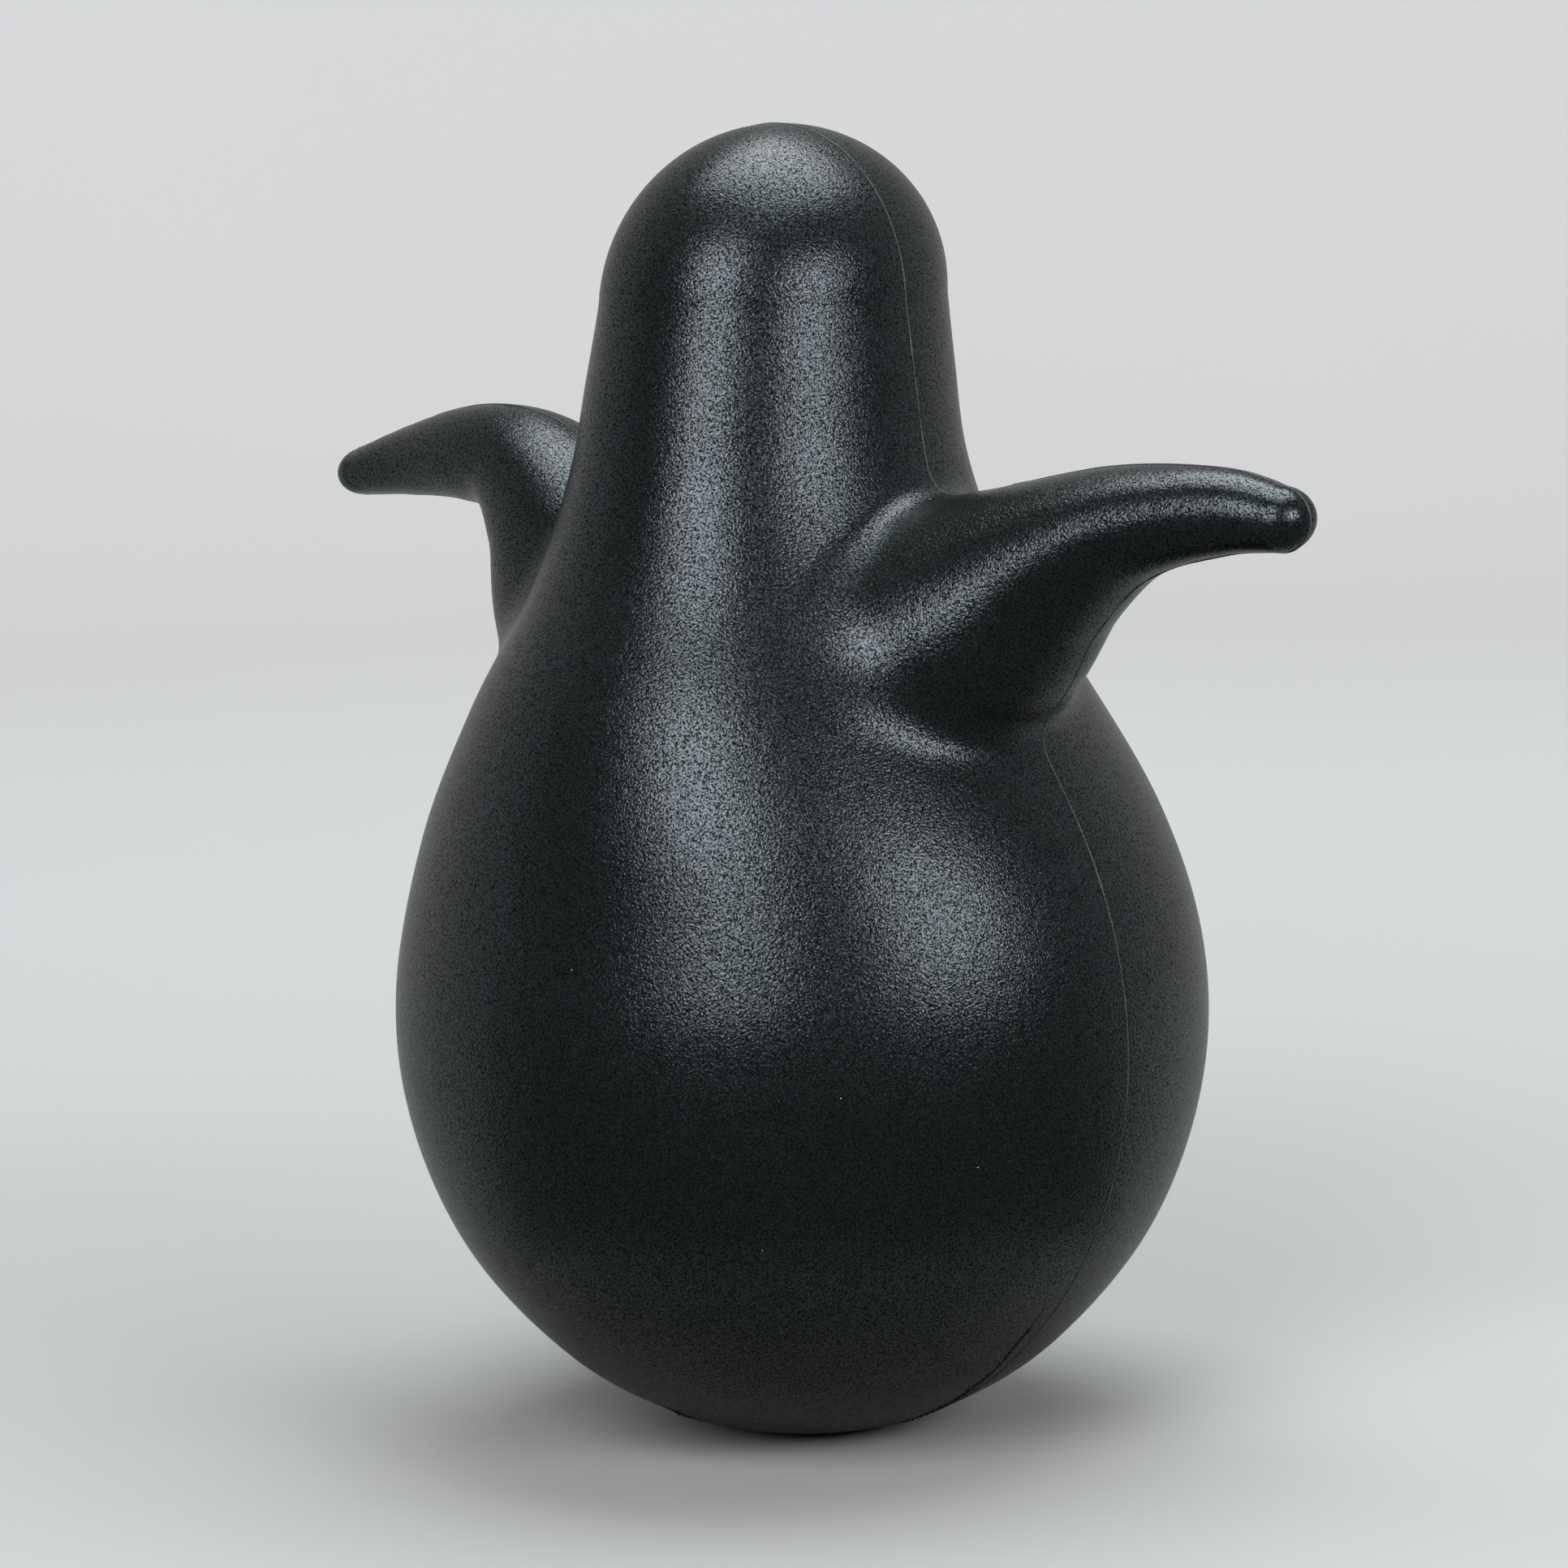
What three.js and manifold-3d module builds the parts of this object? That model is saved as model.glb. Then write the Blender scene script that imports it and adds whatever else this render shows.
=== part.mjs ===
// A free-standing, self-righting bird figure moulded in black plastic.
//
// Frame: millimetres, +Z up. The origin is the centre of the flat foot, on the floor.
// The wings spread along X, the belly and beak face -Y, the back faces +Y.
// Two hollow half shells meet on the frontal plane Y = 0. A cast weight, clamped low in
// the round base, makes the figure stand up again when it is pushed over.

import * as THREE from 'three';
import { mergeVertices } from 'three/addons/utils/BufferGeometryUtils.js';
import Module from 'manifold-3d';

const wasm = await Module();
wasm.setup();

// ---------------------------------------------------------------- driving dimensions

const HEIGHT = 600;
const WALL = 4.6;                // moulded wall
const GAP = 0.3;                 // clearance between separate pieces

// Body outline in the radius-height plane, from the foot's edge up to the head, then a round crown.
const FOOT_RADIUS = 31.5;
const OUTLINE = [
  [FOOT_RADIUS, 0], [70, 12], [115, 40], [158, 90], [182, 150], [186.3, 212],
  [170.5, 280], [142.8, 340], [110.5, 395], [92, 445], [84.5, 490],
];
const HEAD_RADIUS = 80;
const HEAD_DROP = 78.5;          // crown height above the widest section of the head

// Above the belly the sections grow deeper than wide and lean towards the back.
const NECK_OVALITY = 0.09;
const OVALITY_RANGE = [240, 400];
const NECK_SHIFT = 12;
const SHIFT_RANGE = [230, HEIGHT];

// Wings: centre line (u outwards, z up) with half height and half thickness at each station. A section
// is an ellipse, moved back by shift, that leans forwards with height by lean. The right wing leaves
// the body a little higher than the left.
const LEFT_WING = [
  { u: 70, z: 357, high: 60, thick: 92, shift: 7, lean: 0.09 },
  { u: 118, z: 385, high: 56, thick: 64, shift: 7, lean: 0.09 },
  { u: 153, z: 407.5, high: 39.3, thick: 48, shift: 3.5, lean: 0.06 },
  { u: 184, z: 423, high: 28.5, thick: 38, shift: 0, lean: 0.04 },
  { u: 213, z: 430.4, high: 22.8, thick: 28.5, shift: 0, lean: 0.04 },
  { u: 246, z: 433.5, high: 18.5, thick: 20.5, shift: 0, lean: 0.04 },
  { u: 270, z: 431, high: 14.5, thick: 15.8, shift: 0, lean: 0.04 },
];
const RIGHT_WING = [
  { u: 69, z: 350, high: 62, thick: 88, shift: 7, lean: 0.09 },
  { u: 106, z: 391, high: 52, thick: 60, shift: 7, lean: 0.09 },
  { u: 133, z: 421, high: 36, thick: 45, shift: 3.5, lean: 0.06 },
  { u: 161, z: 440, high: 26.5, thick: 34, shift: 0, lean: 0.04 },
  { u: 194, z: 443.5, high: 22.5, thick: 26.5, shift: 0, lean: 0.04 },
  { u: 235, z: 438.5, high: 16.5, thick: 19, shift: 0, lean: 0.04 },
  { u: 270, z: 432, high: 11.5, thick: 15.2, shift: 0, lean: 0.04 },
];
const HALF_SPAN = 285;
const WING_TIP = 15;             // how far the rounded end stands beyond the last station
const WING_WALL = 5;
const SWEEP = { from: 150, above: 272, forward: 8 };   // the wings curve forwards outside this half width
const VENT = { u: 205, z: 404, radius: 1.4, reach: 14, tilt: 25 };

// The beak: an ellipsoid that narrows and drops towards its tip.
const BEAK = { z: 488, reach: 46, halfWidth: 22, halfHeight: 15, droop: 9, narrowing: 0.45 };

// Base fittings
const BASE_HOLE_RADIUS = 38.3;
const CAP_TOP = 14;
const CAP_FLANGE_RADIUS = 46;
const CAP_CLEARANCE = 1.2;       // flange to the shell floor
const PLUG_HEAD = { radius: 15.4, bottom: 4, top: 8, socket: 5, socketDepth: 2.4 };
const PLUG_NECK = { radius: 9.7, top: 26 };
const SEAL = { radius: 12.4, tube: 1.3 };

const WEIGHT_RADIUS = 70;
const WEIGHT_TOP = 44;
const WEIGHT_BORE = 14;
const WEIGHT_CLEARANCE = 1.5;    // to the shell floor

const BOSS = { circle: 84, radius: 8, bore: 2.7, boreDepth: 20 };
const CLAMP = { inner: 52, outer: 93, thickness: 3 };
const SCREW = { head: 5, headHeight: 3.2, shank: 2.4, length: 17, hole: 2.8 };

// Locating lip inside the front shell: clear of the base fittings and of the wing mouths.
const LIP = { thickness: 2, overlap: 6, bottom: 70 };
const MOUTH = { low: 300, high: 470, near: 60, far: 240, depth: 50 };

const FIGURE_BOX = { side: 400, bottom: -50, top: 700 };   // reaches past the figure on every side

// Facets
const AROUND = 36;               // body sections
const WING_AROUND = 14;
const FITTING_AROUND = 24;

// ---------------------------------------------------------------- materials

const plastic = (color, roughness) => new THREE.MeshStandardMaterial({ color, roughness, metalness: 0 });
const metal = (color, roughness) => new THREE.MeshStandardMaterial({ color, roughness, metalness: 1 });

// ---------------------------------------------------------------- solids

function signedVolume(points, index) {
  const [a, b, c] = [new THREE.Vector3(), new THREE.Vector3(), new THREE.Vector3()];
  let volume = 0;
  for (let i = 0; i < index.length; i += 3) {
    a.fromArray(points, index[i] * 3);
    b.fromArray(points, index[i + 1] * 3);
    c.fromArray(points, index[i + 2] * 3);
    volume += a.dot(b.cross(c)) / 6;
  }
  return volume;
}

// Closed geometry to solid: seams and poles merged, faces pointing out.
function solid(geometry) {
  const bare = geometry.clone();
  bare.deleteAttribute('normal');
  bare.deleteAttribute('uv');
  const merged = mergeVertices(bare, 1e-3);
  const points = Float32Array.from(merged.attributes.position.array);
  const triangles = [];
  for (let i = 0; i < merged.index.count; i += 3) {
    const [a, b, c] = [0, 1, 2].map((k) => merged.index.getX(i + k));
    if (a !== b && b !== c && a !== c) triangles.push(a, b, c);
  }
  if (signedVolume(points, triangles) < 0) triangles.reverse();
  const triVerts = Uint32Array.from(triangles);
  return new wasm.Manifold(new wasm.Mesh({ numProp: 3, vertProperties: points, triVerts }));
}

function mesh(name, body, material, bend = null) {
  const { vertProperties, triVerts } = body.getMesh();
  const geometry = new THREE.BufferGeometry();
  geometry.setAttribute('position', new THREE.BufferAttribute(vertProperties, 3));
  if (bend) bend(geometry.attributes.position);
  geometry.setIndex(new THREE.BufferAttribute(triVerts, 1));
  geometry.computeVertexNormals();
  const made = new THREE.Mesh(geometry, material);
  made.name = name;
  return made;
}

// A profile of [radius, height] pairs turned about the Z axis.
function turned(profile, segments = FITTING_AROUND) {
  const points = profile.map(([r, z]) => new THREE.Vector2(r, z));
  return new THREE.LatheGeometry(points, segments).rotateX(Math.PI / 2);
}

function ring(inner, outer, bottom, top) {
  const profile = [[inner, bottom], [outer, bottom], [outer, top], [inner, top], [inner, bottom]];
  return solid(turned(profile));
}

function rod(radius, bottom, top, segments = FITTING_AROUND) {
  return solid(turned([[0, bottom], [radius, bottom], [radius, top], [0, top]], segments));
}

function box(low, high) {
  const size = high.map((value, i) => value - low[i]);
  const centre = high.map((value, i) => (value + low[i]) / 2);
  return solid(new THREE.BoxGeometry(...size).translate(...centre));
}

// Everything between two planes across Y, from a height upwards.
function slab(nearY, farY, bottom = FIGURE_BOX.bottom) {
  return box([-FIGURE_BOX.side, nearY, bottom], [FIGURE_BOX.side, farY, FIGURE_BOX.top]);
}

const frontHalf = (body) => body.intersect(slab(-FIGURE_BOX.side, -GAP / 2));
const backHalf = (body) => body.intersect(slab(GAP / 2, FIGURE_BOX.side));

// ---------------------------------------------------------------- body form

function bodyCurve() {
  const headHeight = HEIGHT - HEAD_DROP;
  const side = [...OUTLINE, [HEAD_RADIUS, headHeight]].map(([r, z]) => new THREE.Vector2(r, z));
  const flank = new THREE.SplineCurve(side);
  const crown = new THREE.EllipseCurve(0, headHeight, HEAD_RADIUS, HEAD_DROP, 0, Math.PI / 2);
  return [...flank.getPoints(2 * (side.length - 1)), ...crown.getPoints(6).slice(1)];
}

// The outline moved inwards by inset, still starting and ending on the axis.
function bodyProfile(inset) {
  const outline = bodyCurve();
  const moved = outline.map((point, i) => {
    const before = outline[Math.max(i - 1, 0)];
    const after = outline[Math.min(i + 1, outline.length - 1)];
    const along = after.clone().sub(before).normalize();
    return [Math.max(point.x - along.y * inset, 0), point.y + along.x * inset];
  });
  moved[moved.length - 1] = [0, HEIGHT - inset];
  return [[0, moved[0][1]], ...moved];
}

function ovality(z) {
  return NECK_OVALITY * THREE.MathUtils.smoothstep(z, ...OVALITY_RANGE);
}

function backShift(z) {
  const [low, high] = SHIFT_RANGE;
  const share = THREE.MathUtils.clamp((z - low) / (high - low), 0, 1);
  return NECK_SHIFT * Math.sin(Math.PI * share) ** 2;
}

function bodySolid(inset = 0) {
  const geometry = turned(bodyProfile(inset), AROUND);
  const position = geometry.attributes.position;
  for (let i = 0; i < position.count; i += 1) {
    const z = position.getZ(i);
    position.setX(i, position.getX(i) * (1 - ovality(z)));
    position.setY(i, position.getY(i) * (1 + ovality(z)) + backShift(z));
  }
  return solid(geometry);
}

// ---------------------------------------------------------------- wings

// Splines through one measure of the stations, over the same parameter as the centre line.
function stationCurve(stations, measure) {
  return new THREE.SplineCurve(stations.map((station, i) => new THREE.Vector2(i, station[measure])));
}

// A sphere stretched along the wing's centre line: its poles are the root and the tip.
function wingSolid(stations, side, inset = 0) {
  const axis = new THREE.SplineCurve(stations.map(({ u, z }) => new THREE.Vector2(u, z)));
  const measures = ['high', 'thick', 'shift', 'lean'].map((name) => stationCurve(stations, name));
  const outwards = axis.getTangent(1);
  const rings = 2 * (stations.length - 1);
  const sections = [{ at: 0, round: 0, beyond: 0 }];
  for (let i = 0; i <= rings; i += 1) sections.push({ at: i / rings, round: 1, beyond: 0 });
  for (const angle of [30, 60, 90]) {
    const turn = THREE.MathUtils.degToRad(angle);
    sections.push({ at: 1, round: Math.cos(turn), beyond: (WING_TIP - inset) * Math.sin(turn) });
  }
  sections[sections.length - 1].round = 0;
  const geometry = new THREE.LatheGeometry(sections.map((_, i) => new THREE.Vector2(1, i)), WING_AROUND);
  const position = geometry.attributes.position;
  for (let i = 0; i < position.count; i += 1) {
    const { at, round, beyond } = sections[Math.round(position.getY(i))];
    const [high, thick, shift, lean] = measures.map((curve) => curve.getPoint(at).y);
    const up = position.getZ(i) * round * (high - inset);
    const across = position.getX(i) * round * (thick - inset) + shift - lean * up;
    const centre = axis.getPoint(at);
    const along = axis.getTangent(at);
    const u = centre.x - along.y * up + outwards.x * beyond;
    const z = centre.y + along.x * up + outwards.y * beyond;
    position.setXYZ(i, side * u, across, z);
  }
  geometry.computeBoundingBox();
  const { min, max } = geometry.boundingBox;
  const reach = (HALF_SPAN - inset) / Math.max(max.x, -min.x);
  return solid(geometry.scale(reach, 1, 1));
}

function sweepForwards(position) {
  for (let i = 0; i < position.count; i += 1) {
    const outside = Math.max(Math.abs(position.getX(i)) - SWEEP.from, 0);
    const share = Math.min(outside / (HALF_SPAN - SWEEP.from), 1);
    const wing = position.getZ(i) > SWEEP.above ? 1 : 0;
    position.setY(i, position.getY(i) - wing * SWEEP.forward * share * share);
  }
}

function figure(inset, wingInset) {
  return bodySolid(inset)
    .add(wingSolid(LEFT_WING, -1, wingInset))
    .add(wingSolid(RIGHT_WING, 1, wingInset));
}

// ---------------------------------------------------------------- shells

function beakSolid() {
  const front = (HEAD_RADIUS * (1 + NECK_OVALITY)) - backShift(BEAK.z);
  const geometry = new THREE.SphereGeometry(1, 16, 10);
  const position = geometry.attributes.position;
  for (let i = 0; i < position.count; i += 1) {
    const along = position.getZ(i);
    const taper = along > 0 ? 1 - BEAK.narrowing * along : 1;
    const drop = along > 0 ? BEAK.droop * along * along : 0;
    position.setXYZ(
      i,
      position.getX(i) * BEAK.halfWidth * taper,
      -front - (along * BEAK.reach) / 2,
      BEAK.z + position.getY(i) * BEAK.halfHeight * taper - drop,
    );
  }
  return solid(geometry);
}

const bossPlaces = [45, 135, 225, 315].map((angle) => {
  const turn = THREE.MathUtils.degToRad(angle);
  return [BOSS.circle * Math.cos(turn), BOSS.circle * Math.sin(turn)];
});

function bosses() {
  const floor = bodySolid(1);
  return bossPlaces.map(([x, y]) => {
    const bore = rod(BOSS.bore, WEIGHT_TOP - BOSS.boreDepth, WEIGHT_TOP + 5, 12);
    const post = rod(BOSS.radius, 0, WEIGHT_TOP, 16).subtract(bore);
    return post.translate([x, y, 0]).intersect(floor);
  });
}

function ventCutter() {
  const { radius, reach, tilt } = VENT;
  const geometry = turned([[0, -reach], [radius, -reach], [radius, reach], [0, reach]], 8);
  geometry.rotateY(THREE.MathUtils.degToRad(tilt)).translate(-VENT.u, 0, VENT.z);
  return solid(geometry);
}

// The walls of both shells, before they part on the frontal plane.
function walls() {
  const hollow = figure(0, 0).subtract(figure(WALL, WING_WALL));
  const hole = rod(BASE_HOLE_RADIUS, -5, 40, AROUND);
  return hollow.subtract(hole).subtract(ventCutter());
}

// A tongue inside the front shell's edge that reaches behind the back shell's edge.
function lip() {
  const inside = bodySolid(WALL + GAP + LIP.thickness);
  const tongue = bodySolid(WALL + GAP).subtract(inside);
  const root = bodySolid(WALL - 1).subtract(inside);
  const band = slab(-LIP.overlap, LIP.overlap, LIP.bottom);
  const behind = slab(-LIP.overlap, -GAP / 2, LIP.bottom);
  const { low, high, near, far, depth } = MOUTH;
  const leftMouth = box([-far, -depth, low], [-near, depth, high]);
  const rightMouth = box([near, -depth, low], [far, depth, high]);
  return tongue.intersect(band).add(root.intersect(behind)).subtract(leftMouth).subtract(rightMouth);
}

function shells() {
  const both = walls();
  const posts = bosses();
  let back = backHalf(both);
  let front = frontHalf(both).add(frontHalf(beakSolid().subtract(bodySolid(WALL - 1))));
  front = front.add(lip());
  for (const post of posts) {
    back = back.add(backHalf(post));
    front = front.add(frontHalf(post));
  }
  return { back, front };
}

// ---------------------------------------------------------------- base fittings

// Height of the outer surface under the base, at a radius beyond the foot.
function baseHeight(radius) {
  const outline = bodyCurve();
  const above = outline.findIndex((point) => point.x >= radius);
  const [low, high] = [outline[above - 1], outline[above]];
  return low.y + ((high.y - low.y) * (radius - low.x)) / (high.x - low.x);
}

function baseCap() {
  const rim = BASE_HOLE_RADIUS - GAP;
  const recess = PLUG_HEAD.radius + GAP;
  const seat = PLUG_HEAD.top + 2 * SEAL.tube + 2 * GAP / 3;
  const bore = PLUG_NECK.radius + GAP;
  return solid(turned([
    [recess, 0], [FOOT_RADIUS, 0], [rim, baseHeight(rim)],
    [rim, baseHeight(rim) + WALL + CAP_CLEARANCE],
    [CAP_FLANGE_RADIUS, baseHeight(CAP_FLANGE_RADIUS) + WALL + CAP_CLEARANCE],
    [CAP_FLANGE_RADIUS, CAP_TOP], [bore, CAP_TOP], [bore, seat], [recess, seat], [recess, 0],
  ]));
}

function fillerPlug() {
  const { radius, bottom, top, socket, socketDepth } = PLUG_HEAD;
  const turnedPlug = solid(turned([
    [0, bottom], [radius - 0.8, bottom], [radius, bottom + 0.8], [radius, top],
    [PLUG_NECK.radius, top], [PLUG_NECK.radius, PLUG_NECK.top - 1],
    [PLUG_NECK.radius - 1, PLUG_NECK.top], [0, PLUG_NECK.top],
  ]));
  return turnedPlug.subtract(rod(socket, bottom - 1, bottom + socketDepth, 6));
}

function plugSeal() {
  const height = PLUG_HEAD.top + SEAL.tube + GAP / 3;
  return solid(new THREE.TorusGeometry(SEAL.radius, SEAL.tube, 8, 24).translate(0, 0, height));
}

function ballastWeight() {
  const bottom = CAP_TOP + GAP;
  const under = [55, 63, WEIGHT_RADIUS].map((radius) => {
    const floor = baseHeight(radius) + WALL + WEIGHT_CLEARANCE;
    return [radius, Math.max(floor, bottom + 1)];
  });
  return solid(turned([
    [WEIGHT_BORE, bottom], [CAP_FLANGE_RADIUS, bottom], ...under,
    [WEIGHT_RADIUS, WEIGHT_TOP - 2], [WEIGHT_RADIUS - 2, WEIGHT_TOP],
    [WEIGHT_BORE, WEIGHT_TOP], [WEIGHT_BORE, bottom],
  ]));
}

function clampRing() {
  const bottom = WEIGHT_TOP + GAP;
  const top = bottom + CLAMP.thickness;
  let plate = ring(CLAMP.inner, CLAMP.outer, bottom, top);
  for (const [x, y] of bossPlaces) {
    plate = plate.subtract(rod(SCREW.hole, bottom - 1, top + 1, 16).translate([x, y, 0]));
  }
  return plate;
}

function clampScrew() {
  const seat = WEIGHT_TOP + CLAMP.thickness + 2 * GAP;
  const crown = seat + SCREW.headHeight;
  const screw = solid(turned([
    [0, seat - SCREW.length], [SCREW.shank * 0.6, seat - SCREW.length],
    [SCREW.shank, seat - SCREW.length + 2], [SCREW.shank, seat], [SCREW.head, seat],
    [SCREW.head, crown - 1.2], [SCREW.head * 0.72, crown], [0, crown],
  ], 16));
  const slot = (width, length) => box([-length, -width, crown - 1.6], [length, width, crown + 1]);
  return screw.subtract(slot(0.5, 2.6)).subtract(slot(2.6, 0.5));
}

// ---------------------------------------------------------------- assembly

const group = new THREE.Group();
const { back, front } = shells();
group.add(mesh('back_shell', back, plastic(0x141615, 0.42), sweepForwards));
group.add(mesh('front_shell', front, plastic(0x141615, 0.42), sweepForwards));
group.add(mesh('base_cap', baseCap(), plastic(0x151515, 0.55)));
group.add(mesh('filler_plug', fillerPlug(), plastic(0x1a1a1a, 0.5)));
group.add(mesh('plug_seal', plugSeal(), plastic(0x0d0d0d, 0.85)));
group.add(mesh('ballast_weight', ballastWeight(), metal(0x4a4a4c, 0.6)));
group.add(mesh('clamp_ring', clampRing(), metal(0xa8aaad, 0.4)));
bossPlaces.forEach(([x, y], i) => {
  const screw = mesh(`clamp_screw_${i + 1}`, clampScrew(), metal(0x9b9da0, 0.35));
  screw.position.set(x, y, 0);
  group.add(screw);
});

export default group;
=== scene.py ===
"""Looks of the self-righting bird figure: black grained moulded plastic, standing on a pale studio floor."""

import math

import bmesh
import bpy
import numpy as np
from mathutils import Matrix, Vector


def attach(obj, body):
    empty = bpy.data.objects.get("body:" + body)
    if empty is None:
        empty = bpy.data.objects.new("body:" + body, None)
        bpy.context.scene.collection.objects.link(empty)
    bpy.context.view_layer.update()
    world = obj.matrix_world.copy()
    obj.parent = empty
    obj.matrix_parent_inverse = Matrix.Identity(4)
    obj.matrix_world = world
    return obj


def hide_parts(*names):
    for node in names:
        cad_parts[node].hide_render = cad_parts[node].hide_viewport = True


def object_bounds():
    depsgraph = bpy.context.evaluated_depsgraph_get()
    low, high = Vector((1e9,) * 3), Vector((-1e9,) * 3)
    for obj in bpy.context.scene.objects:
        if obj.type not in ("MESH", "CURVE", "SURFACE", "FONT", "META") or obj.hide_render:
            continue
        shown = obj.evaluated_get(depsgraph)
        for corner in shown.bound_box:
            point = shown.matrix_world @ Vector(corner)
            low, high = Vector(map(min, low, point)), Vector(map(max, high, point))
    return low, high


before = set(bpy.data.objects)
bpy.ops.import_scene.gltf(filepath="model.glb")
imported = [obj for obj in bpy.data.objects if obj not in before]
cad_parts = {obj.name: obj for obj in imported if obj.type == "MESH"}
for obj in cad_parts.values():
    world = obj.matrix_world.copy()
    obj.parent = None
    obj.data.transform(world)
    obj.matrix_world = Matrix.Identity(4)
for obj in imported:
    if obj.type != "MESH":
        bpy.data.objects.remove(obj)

CAD_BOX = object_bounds()
MM = (CAD_BOX[1].z - CAD_BOX[0].z) / 600.0      # metres to one model millimetre
FLOOR_Z = CAD_BOX[0].z
HALF_SPAN = CAD_BOX[1].x / MM
rng = np.random.default_rng(7)

# ---------------------------------------------------------------- form, in millimetres

HEIGHT = 600.0
WALL = 4.6
GAP = 0.3
HEAD_RADIUS, HEAD_DROP = 80.0, 78.5
OUTLINE = [
    (31.5, 0), (70, 12), (115, 40), (158, 90), (182, 150), (186.3, 212),
    (170.5, 280), (142.8, 340), (110.5, 395), (92, 445), (84.5, 490), (HEAD_RADIUS, HEIGHT - HEAD_DROP),
]
NECK_OVALITY, OVALITY_RANGE = 0.09, (240, 400)
NECK_SHIFT, SHIFT_RANGE = 12.0, (230, HEIGHT)

# Wing stations: outwards, up, half height, half thickness, shift towards the back, lean of the section.
LEFT_WING = [
    (70, 357, 60, 92, 7, -0.09), (118, 385, 56, 64, 7, -0.09), (153, 407.5, 39.3, 48, 3.5, -0.06),
    (184, 423, 28.5, 38, 0, -0.04), (213, 430.4, 22.8, 28.5, 0, -0.04), (246, 433.5, 18.5, 20.5, 0, -0.04),
    (270, 431, 14.5, 15.8, 0, -0.04),
]
RIGHT_WING = [
    (69, 350, 62, 88, 7, -0.09), (106, 391, 52, 60, 7, -0.09), (133, 421, 36, 45, 3.5, -0.06),
    (161, 440, 26.5, 34, 0, -0.04), (194, 443.5, 22.5, 26.5, 0, -0.04), (235, 438.5, 16.5, 19, 0, -0.04),
    (270, 432, 11.5, 15.2, 0, -0.04),
]
WING_TIP = 15.0
SWEEP_FROM, SWEEP_FORWARD, SWEEP_ABOVE = 150.0, 8.0, 272.0
FILLET = 17.0
BEAK_FILLET = 9.0
BEAK = dict(z=488.0, reach=46.0, half_width=22.0, half_height=15.0, droop=9.0)
HOLE_RADIUS = 38.3
VENT = dict(u=205.0, z=404.0, radius=1.4, reach=14.0, tilt=math.radians(25))

STEP = 3.0          # sampling distance of the moulded surface
GRID_LOW = np.array([-297.0, -201.0, -12.0])
GRID_HIGH = np.array([297.0, 216.0, 612.0])


def smooth(x):
    x = np.clip(x, 0, 1)
    return x * x * (3 - 2 * x)


def spline(points, count):
    points = np.asarray(points, float)
    place = np.linspace(0, len(points) - 1, count)
    i = np.minimum(place.astype(int), len(points) - 2)
    w = (place - i)[:, None]
    p0, p1 = points[np.maximum(i - 1, 0)], points[i]
    p2, p3 = points[i + 1], points[np.minimum(i + 2, len(points) - 1)]
    v0, v1 = (p2 - p0) / 2, (p3 - p1) / 2
    return (2 * p1 - 2 * p2 + v0 + v1) * w**3 + (3 * p2 - 3 * p1 - 2 * v0 - v1) * w**2 + v0 * w + p1


def look_up(table, a, b):
    a = np.clip(a, 0, table.shape[0] - 1.001)
    b = np.clip(b, 0, table.shape[1] - 1.001)
    i, j = a.astype(int), b.astype(int)
    u, v = a - i, b - j
    near = table[i, j] * (1 - v) + table[i, j + 1] * v
    far = table[i + 1, j] * (1 - v) + table[i + 1, j + 1] * v
    return near * (1 - u) + far * u


def meridian():
    angle = np.linspace(0, math.pi / 2, 120)[1:]
    top = HEIGHT - HEAD_DROP
    crown = np.stack([HEAD_RADIUS * np.cos(angle), top + HEAD_DROP * np.sin(angle)], 1)
    return np.vstack([[(0, 0)], spline(OUTLINE, 600), crown])


class Body:
    """Signed distance to the turned body, tabulated over radius and height, then made oval and leant back."""

    def __init__(self, step=1.5):
        self.step, self.low = step, -30.0
        r, z = np.meshgrid(np.arange(0, 250, step), np.arange(self.low, 640, step), indexing="ij")
        line = meridian()
        start, along = line[:-1], np.diff(line, axis=0)
        length = (along**2).sum(1)
        distance = np.empty(r.size)
        points = np.stack([r.ravel(), z.ravel()], 1)
        for part in np.array_split(np.arange(len(points)), 40):
            away = points[part, None] - start[None]
            t = np.clip((away * along).sum(2) / length, 0, 1)
            distance[part] = np.sqrt(((away - t[..., None] * along) ** 2).sum(2).min(1))
        inside = points[:, 0] < np.interp(points[:, 1], line[1:, 1], line[1:, 0], left=-1, right=-1)
        self.table = np.where(inside, -distance, distance).reshape(r.shape)

    def __call__(self, p):
        x, y, z = p
        oval = NECK_OVALITY * smooth((z - OVALITY_RANGE[0]) / (OVALITY_RANGE[1] - OVALITY_RANGE[0]))
        share = np.clip((z - SHIFT_RANGE[0]) / (SHIFT_RANGE[1] - SHIFT_RANGE[0]), 0, 1)
        shift = NECK_SHIFT * np.sin(math.pi * share) ** 2
        radius = np.hypot(x / (1 - oval), (y - shift) / (1 + oval))
        return look_up(self.table, radius / self.step, (z - self.low) / self.step)


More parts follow.
